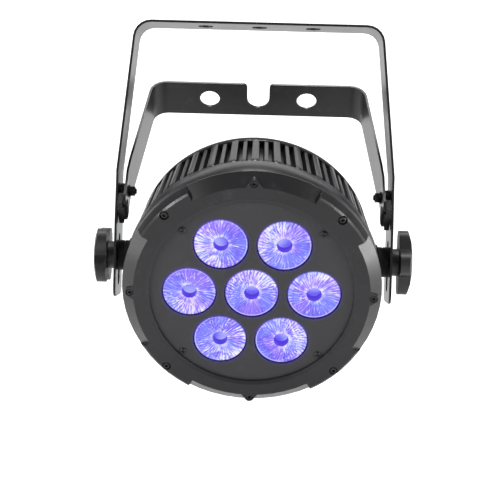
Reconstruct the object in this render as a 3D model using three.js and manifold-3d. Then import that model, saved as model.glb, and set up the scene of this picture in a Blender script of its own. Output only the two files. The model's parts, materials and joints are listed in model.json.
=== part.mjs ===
// LED par can: a finned round lamp head hung in a double steel U-bracket.
// Units are millimetres, +Z up, the lamp's front looks along -Y.
// The origin is the centre of the clamp hole in the hanging bracket's top bar.

import * as THREE from 'three';
import { mergeVertices } from 'three/addons/utils/BufferGeometryUtils.js';
import Module from 'manifold-3d';

const wasm = await Module();
wasm.setup();

// ---------------------------------------------------------------- dimensions

const GAP = 0.3;                    // air between pieces that touch
const ROUND = 60;                   // facets round the lamp head
const FINE = 16;                    // facets round small turned pieces

// hanging bracket, a bent steel strip
const STEEL = 2;                    // strip thickness
const BRACKET_DROP = 195.5;         // top face down to the tilt axis
const LEG_FACE = 115.2;             // outer face of the straight lower legs
const TOP_FACE = 102.5;             // where the leaning legs would meet the top
const LEG_KNEE = 71;                // height of the knee above the tilt axis
const LEG_FOOT = 34;                // leg length below the tilt axis
const BEND_RADIUS = 15;
const STRIP_WIDTH = 37;
const PADDLE_WIDTH = 44;            // wider lower ends that carry the slots
const CLAMP_HOLE = 6.5;
const CLAMP_SPACING = 45;
const SLOT_WIDTH = 12;
const SLOT_TOP = 18.5;
const SLOT_BOTTOM = -25;

// folding stand, the inner steel strip
const STAND_SWING = 45;             // degrees it leans back at rest
const STAND_HINGE = 54;             // hinge height above the tilt axis
const STAND_FACE = 108.2;
const STAND_TOP_FACE = 95.8;
const STAND_LENGTH = 124;
const STAND_KNEE = 9;
const STAND_FOOT = 24;
const STAND_WIDTH = 36;
const STAND_FOOT_WIDTH = 28;
const STAND_HOLE = 9;
const STUD_RADIUS = 2.5;            // hinge studs, heads sunk in the legs' outer faces
const STUD_HOLE = 2.8;
const STUD_HEAD = 4.4;
const STUD_SINK = 1.2;
const STUD_END = 99.5;
const CAP_HOOK = 7;                 // half widths of the stand's foot caps and their pads
const CAP_PAD = 12;
const STAND_HOLE_SPACING = 88;
const NOTCH_WIDTH = 20;
const NOTCH_DEPTH = 27;

// lamp head; its own frame has the optical axis on +Z and the lens faces at 0
const HEAD_TILT = 25;               // degrees the lamp looks down at rest
const PIVOT_DEPTH = 60;             // lens faces forward of the tilt axis
const LENS_PITCH = 50;
const LENS_RADIUS = 21.2;
const RING_RADIUS = 104.5;
const RING_FACE = 4;
const RING_BACK = -6.5;
const LAND_RADIUS = 99.8;
const SCALLOP_RADIUS = 94.7;
const SCALLOP_HALF = 30;            // degrees either side of each quarter
const WINDOW_RADIUS = 82;
const PLATE_RADIUS = 87.9;
const SCREW_CIRCLE = 97.4;
const PLATE_SCREW_CIRCLE = 78;
const BAND_BACK = -28;
const BODY_RADIUS = 104;
const BODY_BACK = -89;
const RIB_COUNT = 36;
const RIB_FRONT_RADIUS = 103.5;
const RIB_BACK_RADIUS = 98.5;
const WIDE_RIB = 6.2;
const SLIM_RIB = 3.8;
const RIM_FRONT = -84;              // plain rim that joins the ribs at the back
const CORE_FRONT_RADIUS = 96;
const SHELL_BORE = 88.5;
const REAR_BORE = 83;
const WALL_FRONT = -24;
const WALL_BACK = -30;
const BOSS_RADIUS = 15;
const BOSS_FACE = 104.3;

// tilt clamp
const CLAMP_BOLT = 5;
const WASHER_RADIUS = 12.7;
const HUB_RADIUS = 11.5;
const KNOB_INNER = 121.8;
const KNOB_OUTER = 133.5;
const KNOB_RADIUS = 27;
const KNOB_VALLEY = 16;

// ------------------------------------------------------------------ finishes

const FINISHES = {
  steel: { color: 0x1d1d1f, roughness: 0.35, metalness: 0.6 },
  casting: { color: 0x242426, roughness: 0.45, metalness: 0.5 },
  plate: { color: 0x2c2c2e, roughness: 0.7, metalness: 0.1 },
  plastic: { color: 0x161617, roughness: 0.55, metalness: 0 },
  rubber: { color: 0x101010, roughness: 0.9, metalness: 0 },
  lens: { color: 0x6a5cf0, roughness: 0.08, metalness: 0 },
  board: { color: 0xdfe2e0, roughness: 0.5, metalness: 0.1 },
  circuit: { color: 0x1f5a34, roughness: 0.5, metalness: 0.1 },
  fastener: { color: 0x1a1a1c, roughness: 0.4, metalness: 0.9 },
  display: { color: 0x0b0f16, roughness: 0.1, metalness: 0 },
};

// ------------------------------------------------------------------- helpers

const radians = THREE.MathUtils.degToRad;

// A closed geometry becomes a solid with shared corners and faces pointing out.
function solid(geometry) {
  const bare = geometry.index ? geometry.toNonIndexed() : geometry.clone();
  bare.deleteAttribute('normal');
  bare.deleteAttribute('uv');
  const merged = mergeVertices(bare, 1e-4);
  const { array: corners } = merged.attributes.position;
  const faces = [];
  let volume = 0;
  const [a, b, c] = [new THREE.Vector3(), new THREE.Vector3(), new THREE.Vector3()];
  for (let i = 0; i < merged.index.count; i += 3) {
    const [p, q, r] = [0, 1, 2].map((k) => merged.index.getX(i + k));
    if (p === q || q === r || r === p) continue;
    faces.push(p, q, r);
    a.fromArray(corners, 3 * p);
    b.fromArray(corners, 3 * q);
    c.fromArray(corners, 3 * r);
    volume += a.dot(b.cross(c));
  }
  if (volume < 0) faces.reverse();
  const mesh = new wasm.Mesh({
    numProp: 3,
    vertProperties: new Float32Array(corners),
    triVerts: new Uint32Array(faces),
  });
  return new wasm.Manifold(mesh);
}

function join(shapes) {
  return shapes.reduce((whole, shape) => whole.add(shape));
}

function cut(shape, tools) {
  return tools.reduce((rest, tool) => rest.subtract(tool), shape);
}

// Turned about Z from [radius, height] points; an open profile starts and ends on the axis.
function turned(profile, facets = FINE) {
  const points = profile.map(([r, h]) => new THREE.Vector2(r, h));
  if (profile[0][0] > 0) points.push(points[0].clone());
  return new THREE.LatheGeometry(points, facets).rotateX(Math.PI / 2);
}

function outline(points) {
  return new THREE.Shape(points.map(([x, y]) => new THREE.Vector2(x, y)));
}

function extruded(shape, low, high, curveSegments = 4) {
  const settings = { depth: high - low, bevelEnabled: false, curveSegments };
  return new THREE.ExtrudeGeometry(shape, settings).translate(0, 0, low);
}

function disc(radius, low, high, facets = FINE) {
  return turned([[0, low], [radius, low], [radius, high], [0, high]], facets);
}

function roundedRect(width, height, radius) {
  const [x, y] = [width / 2, height / 2];
  const shape = new THREE.Shape();
  shape.moveTo(x - radius, -y);
  shape.absarc(x - radius, radius - y, radius, -Math.PI / 2, 0);
  shape.absarc(x - radius, y - radius, radius, 0, Math.PI / 2);
  shape.absarc(radius - x, y - radius, radius, Math.PI / 2, Math.PI);
  shape.absarc(radius - x, radius - y, radius, Math.PI, 1.5 * Math.PI);
  return shape;
}

function stadium(fromX, fromY, toX, toY, radius) {
  const along = Math.atan2(toY - fromY, toX - fromX);
  const shape = new THREE.Shape();
  shape.absarc(toX, toY, radius, along - Math.PI / 2, along + Math.PI / 2);
  shape.absarc(fromX, fromY, radius, along + Math.PI / 2, along + 1.5 * Math.PI);
  return shape;
}

// A shape drawn as (Y, Z) and extruded along X.
function acrossX(shape, low, high, curveSegments = 6) {
  const turn = new THREE.Matrix4().set(0, 0, 1, 0, 1, 0, 0, 0, 0, 1, 0, 0, 0, 0, 0, 1);
  return extruded(shape, low, high, curveSegments).applyMatrix4(turn);
}

// A turned piece laid on the X axis, its height becoming X; side -1 mirrors it to the left.
function onSide(profile, side, facets = FINE) {
  return turned(profile, facets).rotateY(side * Math.PI / 2);
}

// Geometry drawn on the right, and its mirror image on the left for side -1.
function mirrored(geometry, side) {
  return geometry.applyMatrix4(new THREE.Matrix4().makeScale(side, 1, 1));
}

function polar(radius, degrees) {
  return [radius * Math.cos(radians(degrees)), radius * Math.sin(radians(degrees))];
}

// The skin of a solid, as geometry.
function surface(shape) {
  const { vertProperties, triVerts } = shape.getMesh();
  const geometry = new THREE.BufferGeometry();
  geometry.setAttribute('position', new THREE.BufferAttribute(new Float32Array(vertProperties), 3));
  geometry.setIndex(new THREE.BufferAttribute(new Uint32Array(triVerts), 1));
  return geometry;
}

function piece(name, shape, finish) {
  const geometry = surface(shape);
  geometry.computeVertexNormals();
  const mesh = new THREE.Mesh(geometry, new THREE.MeshStandardMaterial(FINISHES[finish]));
  mesh.name = name;
  return mesh;
}

// ------------------------------------------------------------- steel strips

// Front view of a bent strip: two legs with a knee each, a top bar and round bends.
function stripOutline(legFace, knee, topFace, top, foot) {
  const lean = Math.atan2(legFace - topFace, top - knee);
  const corner = (inset, bend) => {
    const reach = bend * Math.tan((Math.PI / 2 - lean) / 2);
    const line = (height) => topFace - inset / Math.cos(lean)
      + (top - height) * Math.tan(lean);
    const level = top - inset;
    const start = [line(level) + reach * Math.sin(lean), level - reach * Math.cos(lean)];
    const centre = [line(level) - reach, level - bend];
    const steps = 5;
    const points = [start];
    for (let i = 1; i <= steps; i += 1) {
      const angle = lean + (Math.PI / 2 - lean) * (i / steps);
      points.push([centre[0] + bend * Math.cos(angle), centre[1] + bend * Math.sin(angle)]);
    }
    return points;
  };
  const kneeInset = STEEL * Math.tan(lean / 2);
  const outside = [[legFace, foot], [legFace, knee], ...corner(0, BEND_RADIUS)];
  const inside = [
    [legFace - STEEL, foot],
    [legFace - STEEL, knee - kneeInset],
    ...corner(STEEL, BEND_RADIUS - STEEL),
  ];
  const flipped = (points) => points.map(([x, y]) => [-x, y]).reverse();
  return outline([...outside, ...flipped(outside), ...flipped(inside).reverse(),
    ...inside.reverse()]);
}

// A strip drawn as (X, Z) and extruded over its width along Y.
function strip(shape, width) {
  return extruded(shape, -width / 2, width / 2).rotateX(Math.PI / 2);
}

// Side view of the hanging bracket: wide slotted ends under a narrower strip.
function paddleOutline() {
  const [wide, narrow] = [PADDLE_WIDTH / 2, STRIP_WIDTH / 2];
  const low = -BRACKET_DROP - LEG_FOOT;
  const shoulder = -BRACKET_DROP + 30;
  const corner = 8;
  const shape = new THREE.Shape();
  shape.moveTo(wide - corner, low);
  shape.absarc(wide - corner, low + corner, corner, -Math.PI / 2, 0);
  shape.lineTo(wide, shoulder);
  shape.lineTo(narrow, shoulder + 30);
  shape.lineTo(narrow, 5);
  shape.lineTo(-narrow, 5);
  shape.lineTo(-narrow, shoulder + 30);
  shape.lineTo(-wide, shoulder);
  shape.absarc(corner - wide, low + corner, corner, Math.PI, 1.5 * Math.PI);
  return shape;
}

function outerBracket() {
  const axis = -BRACKET_DROP;
  const blank = strip(
    stripOutline(LEG_FACE, axis + LEG_KNEE, TOP_FACE, 0, axis - LEG_FOOT - 1),
    PADDLE_WIDTH + 4,
  );
  const trimmed = solid(blank).intersect(solid(acrossX(paddleOutline(), -130, 130)));
  const slotEnd = SLOT_WIDTH / 2;
  const slot = acrossX(
    stadium(0, axis + SLOT_BOTTOM + slotEnd, 0, axis + SLOT_TOP - slotEnd, slotEnd),
    -130,
    130,
  );
  const hinge = axis + STAND_HINGE;
  const tools = [solid(slot)];
  for (const x of [-CLAMP_SPACING, 0, CLAMP_SPACING]) {
    tools.push(solid(disc(CLAMP_HOLE, -10, 10).translate(x, 0, 0)));
  }
  for (const side of [-1, 1]) {
    const seat = STUD_HEAD + GAP;
    const depth = LEG_FACE - STUD_SINK;
    tools.push(solid(onSide([
      [0, 100], [STUD_HOLE, 100], [STUD_HOLE, depth], [seat, depth], [seat, 130], [0, 130],
    ], side).translate(0, 0, hinge)));
  }
  return cut(trimmed, tools);
}

// The stand is drawn upright on its hinge: X across, Z along the legs.
function innerBracket() {
  const blank = strip(
    stripOutline(STAND_FACE, STAND_KNEE, STAND_TOP_FACE, STAND_LENGTH, -STAND_FOOT),
    STAND_WIDTH,
  );
  const [wide, slim, corner] = [STAND_WIDTH / 2, STAND_FOOT_WIDTH / 2, 7];
  const side = new THREE.Shape();
  side.moveTo(slim - corner, -STAND_FOOT);
  side.absarc(slim - corner, corner - STAND_FOOT, corner, -Math.PI / 2, 0);
  side.lineTo(slim, 0);
  side.lineTo(wide, 22);
  side.lineTo(wide, STAND_LENGTH + 5);
  side.lineTo(-wide, STAND_LENGTH + 5);
  side.lineTo(-wide, 22);
  side.lineTo(-slim, 0);
  side.absarc(corner - slim, corner - STAND_FOOT, corner, Math.PI, 1.5 * Math.PI);
  const trim = acrossX(side, -130, 130);
  const tools = [solid(onSide([[0, -130], [STUD_HOLE, -130], [STUD_HOLE, 130], [0, 130]], 1))];
  for (const x of [-STAND_HOLE_SPACING / 2, STAND_HOLE_SPACING / 2]) {
    const hole = disc(STAND_HOLE, STAND_LENGTH - 10, STAND_LENGTH + 10, 32);
    tools.push(solid(hole.translate(x, 0, 0)));
  }
  const half = NOTCH_WIDTH / 2;
  const mouth = -STAND_WIDTH / 2;
  const lead = 4;
  const notch = new THREE.Shape();
  notch.moveTo(half + lead, mouth - 5);
  notch.lineTo(half + lead, mouth);
  notch.absarc(half + lead, mouth + lead, lead, -Math.PI / 2, -Math.PI, true);
  notch.lineTo(half, mouth + NOTCH_DEPTH - half);
  notch.absarc(0, mouth + NOTCH_DEPTH - half, half, 0, Math.PI);
  notch.lineTo(-half, mouth + lead);
  notch.absarc(-half - lead, mouth + lead, lead, 0, -Math.PI / 2, true);
  notch.lineTo(-half - lead, mouth - 5);
  tools.push(solid(extruded(notch, STAND_LENGTH - 10, STAND_LENGTH + 10)));
  return cut(solid(blank).intersect(solid(trim)), tools);
}

// ----------------------------------------------------------- hinge hardware

const SPACER_FACE = LEG_FACE - STEEL - GAP;
const STAND_INNER = STAND_FACE - STEEL;

function hingeStud(side) {
  const outer = LEG_FACE - 0.1;
  return solid(onSide([
    [0, STUD_END], [STUD_RADIUS - 0.5, STUD_END], [STUD_RADIUS, STUD_END + 0.6],
    [STUD_RADIUS, outer - STUD_SINK + 0.4], [STUD_HEAD, outer - STUD_SINK + 0.4],
    [STUD_HEAD, outer], [0, outer],
  ], side));
}

// Nylon washer that keeps the stand clear of the bracket's leg.
function spacerWasher(side) {
  const [low, high] = [STAND_FACE + GAP, SPACER_FACE];
  return solid(onSide([[STUD_HOLE, low], [6.5, low], [6.5, high], [STUD_HOLE, high]], side));
}

function lockNut(side) {
  const base = STAND_INNER - GAP;
  const flange = onSide([[0, base - 1], [5, base - 1], [5.4, base], [0, base]], side);
  const hex = onSide([[0, base - 5], [4.6, base - 5], [4.6, base - 0.5], [0, base - 0.5]], side, 6);
  const thread = onSide([[0, 90], [STUD_HOLE, 90], [STUD_HOLE, 120], [0, 120]], side);
  return cut(join([solid(hex), solid(flange)]), [solid(thread)]);
}

// A nylon cap hooks round the stand's foot; drawn upright in the stand's frame.
function footCap(side) {
  const [inner, outer] = [STAND_INNER - 1.3, SPACER_FACE - GAP];
  const [toe, heel, chamfer] = [-STAND_FOOT - 2.6, -STAND_FOOT + 7.5, 2.4];
  const hook = outline([
    [inner, heel], [inner, toe + chamfer], [inner + chamfer, toe], [outer, toe], [outer, heel],
  ]);
  const pad = new THREE.BoxGeometry(outer - STAND_FACE - GAP, 2 * CAP_PAD, 12)
    .translate((outer + STAND_FACE + GAP) / 2, 0, toe + 6.4);
  const slot = new THREE.BoxGeometry(STEEL + 2 * GAP, 40, 40)
    .translate(STAND_FACE - STEEL / 2, 0, 20 - STAND_FOOT - GAP);
  const hooked = extruded(hook, -CAP_HOOK, CAP_HOOK).rotateX(Math.PI / 2);
  return cut(join([solid(mirrored(hooked, side)), solid(mirrored(pad, side))]),
    [solid(mirrored(slot, side))]);
}

// --------------------------------------------------------------- tilt clamp

function frictionWasher(side) {
  const [low, high] = [BOSS_FACE + GAP, LEG_FACE - STEEL - GAP];
  return solid(onSide([
    [CLAMP_BOLT + GAP, low], [WASHER_RADIUS, low], [WASHER_RADIUS, low + 3.4],
    [WASHER_RADIUS - 0.8, low + 3.8], [WASHER_RADIUS, low + 4.2], [WASHER_RADIUS, high],
    [CLAMP_BOLT + GAP, high],
  ], side, 20));
}

function clampBolt(side) {
  const tip = 86;
  return solid(onSide([
    [0, tip], [CLAMP_BOLT - 1, tip], [CLAMP_BOLT, tip + 1], [CLAMP_BOLT, KNOB_INNER + 5],
    [0, KNOB_INNER + 5],
  ], side));
}

// Four-lobed moulded grip on a round hub, its outer face slightly crowned.
function clampKnob(side, turn) {
  const shape = new THREE.Shape();
  const steps = 48;
  for (let i = 0; i < steps; i += 1) {
    const angle = (i / steps) * 2 * Math.PI;
    const wave = Math.cos(4 * (angle - radians(turn)));
    const reach = KNOB_VALLEY + (KNOB_RADIUS - KNOB_VALLEY) * (1 - ((1 - wave) / 2) ** 1.6);
    const [x, y] = [reach * Math.cos(angle), reach * Math.sin(angle)];
    if (i === 0) shape.moveTo(x, y);
    else shape.lineTo(x, y);
  }
  shape.closePath();
  const star = extruded(shape, KNOB_INNER, KNOB_OUTER);
  const crown = turned([
    [0, KNOB_INNER - 1], [KNOB_RADIUS + 1, KNOB_INNER - 1], [KNOB_RADIUS + 1, KNOB_OUTER - 4.2],
    [KNOB_VALLEY + 4, KNOB_OUTER - 1.6], [6, KNOB_OUTER], [4.2, KNOB_OUTER],
    [4.2, KNOB_OUTER - 1], [0, KNOB_OUTER - 1],
  ], 24);
  const hub = turned([
    [0, LEG_FACE + GAP], [HUB_RADIUS, LEG_FACE + GAP], [HUB_RADIUS, KNOB_INNER + 1],
    [0, KNOB_INNER + 1],
  ], 24);
  const bore = turned([
    [0, 100], [CLAMP_BOLT + GAP, 100], [CLAMP_BOLT + GAP, KNOB_INNER + 5 + GAP],
    [0, KNOB_INNER + 5 + GAP],
  ]);
  const grip = join([solid(star).intersect(solid(crown)), solid(hub)]);
  return solid(surface(cut(grip, [solid(bore)])).rotateY(side * Math.PI / 2));
}

// ---------------------------------------------------------------- lamp head

const QUARTERS = [0, 90, 180, 270];
const DIAGONALS = [45, 135, 225, 315];

function lensCentres() {
  const ring = [0, 60, 120, 180, 240, 300].map((angle) => polar(LENS_PITCH, angle));
  return [[0, 0], ...ring];
}

function sector(centre, half, reach) {
  const [left, right] = [polar(reach, centre + half), polar(reach, centre - half)];
  return outline([[0, 0], right, polar(1.2 * reach, centre), left]);
}

// A gabled ear carries each quarter screw out over the scallop.
function screwEar(angle) {
  const shape = new THREE.Shape();
  const tip = 3.7;
  const spread = radians(62);
  shape.moveTo(SCALLOP_RADIUS - 3, -6.8);
  shape.lineTo(SCALLOP_RADIUS - 0.4, -6.8);
  shape.absarc(SCREW_CIRCLE, 0, tip, -spread, spread);
  shape.lineTo(SCALLOP_RADIUS - 0.4, 6.8);
  shape.lineTo(SCALLOP_RADIUS - 3, 6.8);
  return extruded(shape, RING_BACK + 0.5, RING_FACE).rotateZ(radians(angle));
}

function frontRing() {
  const blank = turned([
    [WINDOW_RADIUS, 0.9], [PLATE_RADIUS + GAP, 0.9], [PLATE_RADIUS + GAP, RING_BACK],
    [RING_RADIUS, RING_BACK], [RING_RADIUS, -4.2], [LAND_RADIUS + 1.8, 2.6],
    [LAND_RADIUS, RING_FACE], [WINDOW_RADIUS + 2.7, RING_FACE], [WINDOW_RADIUS, 2.5],
  ], ROUND);
  const fall = (RING_FACE + 5.2) / (RING_RADIUS - SCALLOP_RADIUS);
  const over = 6;
  const beyond = 8;
  const scoop = solid(turned([
    [SCALLOP_RADIUS - 0.5 / fall, RING_FACE + 0.5], [SCALLOP_RADIUS - 0.5 / fall, RING_FACE + over],
    [RING_RADIUS + beyond, RING_FACE + over],
    [RING_RADIUS + beyond, RING_FACE - fall * (RING_RADIUS + beyond - SCALLOP_RADIUS)],
  ], ROUND));
  let ring = solid(blank);
  for (const angle of QUARTERS) {
    const wedge = solid(extruded(sector(angle, SCALLOP_HALF, 140), -30, 30));
    ring = ring.subtract(scoop.intersect(wedge));
  }
  ring = join([ring, ...QUARTERS.map((angle) => solid(screwEar(angle)))]);
  const drills = [];
  for (const angle of [...QUARTERS, ...DIAGONALS]) {
    const [x, y] = polar(SCREW_CIRCLE, angle);
    const mouth = QUARTERS.includes(angle) ? 3 : 3.8;
    const bore = [[0, -20], [2.3, -20], [2.3, 0.8], [mouth, 0.8], [mouth, 10], [0, 10]];
    drills.push(solid(turned(bore, 14).translate(x, y, 0)));
  }
  return cut(ring, drills);
}

function ringScrew(angle) {
  const [x, y] = polar(SCREW_CIRCLE, angle);
  const body = turned([
    [0, -16], [2, -16], [2, 1.1], [2.7, 1.1], [2.7, 3.1], [2.3, 3.6], [0, 3.6],
  ], 8);
  const socket = disc(1.5, 1.8, 6, 6);
  return cut(solid(body), [solid(socket)]).translate(x, y, 0);
}

function lensPlate() {
  const holes = lensCentres().map(([x, y]) => (
    solid(disc(LENS_RADIUS + 1, -5, 5, 24).translate(x, y, 0))));
  for (const angle of DIAGONALS) {
    const [x, y] = polar(PLATE_SCREW_CIRCLE, angle);
    holes.push(solid(disc(1.8, -5, 5, 12).translate(x, y, 0)));
  }
  return cut(solid(disc(PLATE_RADIUS, -1.4, 0.6, ROUND)), holes);
}

function plateScrew(angle) {
  const [x, y] = polar(PLATE_SCREW_CIRCLE, angle);
  const body = turned([
    [0, -9], [1.5, -9], [1.5, 0.9], [2.7, 0.9], [2.5, 1.9], [1.6, 2.4], [0, 2.4],
  ], 8);
  const drive = (turn) => solid(new THREE.BoxGeometry(3, 0.7, 2).translate(0, 0, 2.6).rotateZ(turn));
  return cut(solid(body), [drive(0), drive(Math.PI / 2)]).translate(x, y, 0);
}

function lens([x, y]) {
  const profile = [
    [0, -12.6], [4.6, -12.6], [5.2, -17], [8.4, -17], [19.8, -3.2], [21.7, -2.6],
    [LENS_RADIUS, 0], [6, 0], [5.6, -8.8], [0, -8.8],
  ];
  return solid(turned(profile, 18).translate(x, y, 0));
}

function lensCarrier() {
  const blank = solid(turned([[0, -7.4], [PLATE_RADIUS - 0.6, -7.4], [PLATE_RADIUS - 0.6, -3.2],
    [0, -3.2]], ROUND));
  const tools = lensCentres().map(([x, y]) => (
    solid(disc(20.8, -10, 0, 18).translate(x, y, 0))));
  for (const angle of DIAGONALS) {
    const [x, y] = polar(PLATE_SCREW_CIRCLE, angle);
    tools.push(solid(disc(1.8, -10, 0, 12).translate(x, y, 0)));
  }
  return cut(blank, tools);
}

function ledBoard() {
  const top = WALL_FRONT + 1.9;
  const parts = [solid(disc(80, WALL_FRONT + GAP, top, 36))];
  for (const [x, y] of lensCentres()) {
    const chip = new THREE.BoxGeometry(7, 7, 1.6).translate(x, y, top + 0.7);
    const dome = turned([[0, top], [3, top], [3, top + 2.4], [2, top + 3.8], [0, top + 4.2]], 8);
    parts.push(solid(chip), solid(dome.translate(x, y, 0)));
  }
  return join(parts);
}

function housingGasket() {
  const [inner, outer] = [90.3, 92.3];
  return solid(turned([[inner, -8.1], [outer, -8.1], [outer, -6.7], [inner, -6.7]], 30));
}

// All the cooling ribs as one toothed section that tapers towards the back.
function ribSection() {
  const shape = new THREE.Shape();
  const pitch = 360 / RIB_COUNT;
  const tooth = (centre, width, crest) => {
    for (const [across, radius] of [[-1.2, 0], [-1, crest], [1, crest], [1.2, 0]]) {
      const level = CORE_FRONT_RADIUS - 0.6 + radius;
      const swing = (across * width) / 2 / level;
      const angle = radians(centre) + swing;
      points.push([level * Math.cos(angle), level * Math.sin(angle)]);
    }
  };
  const points = [];
  const crest = RIB_FRONT_RADIUS - CORE_FRONT_RADIUS + 0.6;
  for (let i = 0; i < RIB_COUNT; i += 1) {
    tooth(i * pitch, WIDE_RIB, crest);
    tooth((i + 0.5) * pitch, SLIM_RIB, crest - 0.8);
  }
  shape.setFromPoints(points.map(([x, y]) => new THREE.Vector2(x, y)));
  shape.holes.push(new THREE.Path().absarc(0, 0, REAR_BORE, 0, 2 * Math.PI, true));
  const section = extruded(shape, 0, 1, ROUND / 2);
  const { position } = section.attributes;
  const depth = BAND_BACK + 1.5 - BODY_BACK;
  for (let i = 0; i < position.count; i += 1) {
    const back = 1 - position.getZ(i);
    const radius = Math.hypot(position.getX(i), position.getY(i));
    const drop = radius > REAR_BORE + 1 ? back * (RIB_FRONT_RADIUS - RIB_BACK_RADIUS) : 0;
    const scale = (radius - drop) / radius;
    position.setXYZ(i, position.getX(i) * scale, position.getY(i) * scale,
      BODY_BACK + position.getZ(i) * depth);
  }
  return section;
}

function rearHousing() {
  const front = RING_BACK - GAP;
  const shell = turned([
    [0, WALL_FRONT], [SHELL_BORE, WALL_FRONT], [SHELL_BORE, front], [BODY_RADIUS, front],
    [BODY_RADIUS, BAND_BACK], [REAR_BORE + 2, BAND_BACK], [REAR_BORE + 2, WALL_BACK],
    [0, WALL_BACK],
  ], ROUND);
  const rim = turned([
    [REAR_BORE + 1, BODY_BACK], [RIB_BACK_RADIUS + 0.2, BODY_BACK],
    [RIB_BACK_RADIUS + 0.7, RIM_FRONT], [REAR_BORE + 1, RIM_FRONT],
  ], ROUND);
  const parts = [solid(shell), solid(ribSection()), solid(rim)];
  for (const side of [-1, 1]) {
    const boss = onSide([[0, 84], [BOSS_RADIUS, 84], [BOSS_RADIUS, BOSS_FACE - 1],
      [BOSS_RADIUS - 1, BOSS_FACE], [0, BOSS_FACE]], side, 32);
    parts.push(solid(boss.translate(0, 0, -PIVOT_DEPTH)));
  }
  const tools = [];
  for (const side of [-1, 1]) {
    const bore = [[0, 80], [CLAMP_BOLT + GAP, 80], [CLAMP_BOLT + GAP, 110], [0, 110]];
    tools.push(solid(onSide(bore, side).translate(0, 0, -PIVOT_DEPTH)));
  }
  for (const angle of [...QUARTERS, ...DIAGONALS]) {
    const [x, y] = polar(SCREW_CIRCLE, angle);
    tools.push(solid(disc(2.3, -17, 0, 10).translate(x, y, 0)));
  }
  for (const angle of DIAGONALS) {
    const [x, y] = polar(REAR_SCREW_CIRCLE, angle);
    tools.push(solid(disc(1.6, BODY_BACK - 2, BODY_BACK + 11, 10).translate(x, y, 0)));
  }
  const seal = turned([[90, -8.4], [92.6, -8.4], [92.6, -5], [90, -5]], 30);
  const wireway = disc(5, WALL_BACK - 5, WALL_FRONT + 5, 12).translate(25, 0, 0);
  tools.push(solid(seal), solid(wireway));
  return cut(join(parts), tools);
}

// --------------------------------------------------------- inside the shell

function driverBoard() {
  const level = WALL_BACK - 8;
  const card = solid(extruded(roundedRect(110, 70, 3), level - 1.6, level));
  const parts = [card];
  for (const [x, y, w, d, h] of [[-35, 10, 14, 14, 3], [-5, 12, 22, 12, 4], [30, 8, 16, 20, 6],
    [-30, -18, 26, 10, 5], [15, -20, 12, 12, 3]]) {
    parts.push(solid(new THREE.BoxGeometry(w, d, h + 0.4).translate(x, y, level + h / 2 - 0.2)));
  }
  return join(parts);
}

function powerSupply() {
  const level = -70;
  const card = solid(extruded(roundedRect(124, 58, 3), level - 1.6, level));
  const parts = [card];
  for (const [x, y, w, d, h] of [[-8, 2, 30, 28, 20], [36, -8, 18, 22, 14], [-42, -10, 16, 18, 12]]) {
    parts.push(solid(new THREE.BoxGeometry(w, d, h + 0.4).translate(x, y, level + h / 2 - 0.2)));
  }
  for (const [x, y] of [[34, 14], [50, 12], [-34, 16], [-50, 10]]) {
    parts.push(solid(disc(6, level - 0.2, level + 18, 16).translate(x, y, 0)));
  }
  return join(parts);
}

// --------------------------------------------------------------- rear panel

const REAR_SCREW_CIRCLE = 88;
const COVER_FRONT = BODY_BACK - GAP;
const COVER_BACK = COVER_FRONT - 3;
const DISPLAY = { x: 0, y: 50, width: 44, height: 18 };
const BUTTONS = [-27, -9, 9, 27];
const BUTTON_Y = 27;
const BUTTON_RADIUS = 4;
const BUTTON_TRAVEL = 1.2;
const SOCKETS = {
  power_inlet: [-42, -12],
  power_outlet: [42, -12],
  data_inlet: [-17, -48],
  data_outlet: [17, -48],
};
const SOCKET_RADIUS = 12;
const VENT = [0, -14];
const EYE_Y = 74;

function rearCover() {
  const blank = turned([
    [0, COVER_BACK], [90.5, COVER_BACK], [92, COVER_BACK + 1.5], [92, COVER_FRONT],
    [0, COVER_FRONT],
  ], ROUND);
  const tools = [];
  const through = (shape) => tools.push(solid(shape));
  const [low, high] = [COVER_BACK - 5, COVER_FRONT + 5];
  through(extruded(roundedRect(DISPLAY.width, DISPLAY.height, 2), low, high)
    .translate(DISPLAY.x, DISPLAY.y, 0));
  for (const x of BUTTONS) through(disc(BUTTON_RADIUS + GAP, low, high, 12).translate(x, BUTTON_Y, 0));
  for (const [x, y] of Object.values(SOCKETS)) {
    through(disc(SOCKET_RADIUS + GAP, low, high, 20).translate(x, y, 0));
  }
  through(disc(4.3, low, high, 12).translate(...VENT, 0));
  through(disc(2.3, low, high, 12).translate(0, EYE_Y, 0));
  for (const angle of DIAGONALS) {
    const [x, y] = polar(REAR_SCREW_CIRCLE, angle);
    through(disc(1.8, low, high, 12).translate(x, y, 0));
  }
  return cut(solid(blank), tools);
}

function rearScrew(angle) {
  const [x, y] = polar(REAR_SCREW_CIRCLE, angle);
  const under = COVER_BACK - GAP;
  const body = turned([
    [0, under - 1.7], [1.8, under - 1.7], [2.8, under - 0.7], [2.8, under], [1.3, under],
    [1.3, BODY_BACK + 8], [0, BODY_BACK + 8],
  ], 8);
  const socket = disc(1.2, under - 3, under - 0.6, 6);
  return cut(solid(body), [solid(socket)]).translate(x, y, 0);
}

function displayWindow() {
  const { x, y, width, height } = DISPLAY;
  const pane = extruded(roundedRect(width - 2 * GAP, height - 2 * GAP, 1.7), COVER_BACK + 0.4,
    COVER_FRONT + 0.5, 2);
  const depth = 1.2;
  const flange = new THREE.BoxGeometry(width + 6, height + 6, depth)
    .translate(0, 0, COVER_FRONT + GAP + depth / 2);
  return join([pane, flange].map((shape) => solid(shape.translate(x, y, 0))));
}

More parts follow.
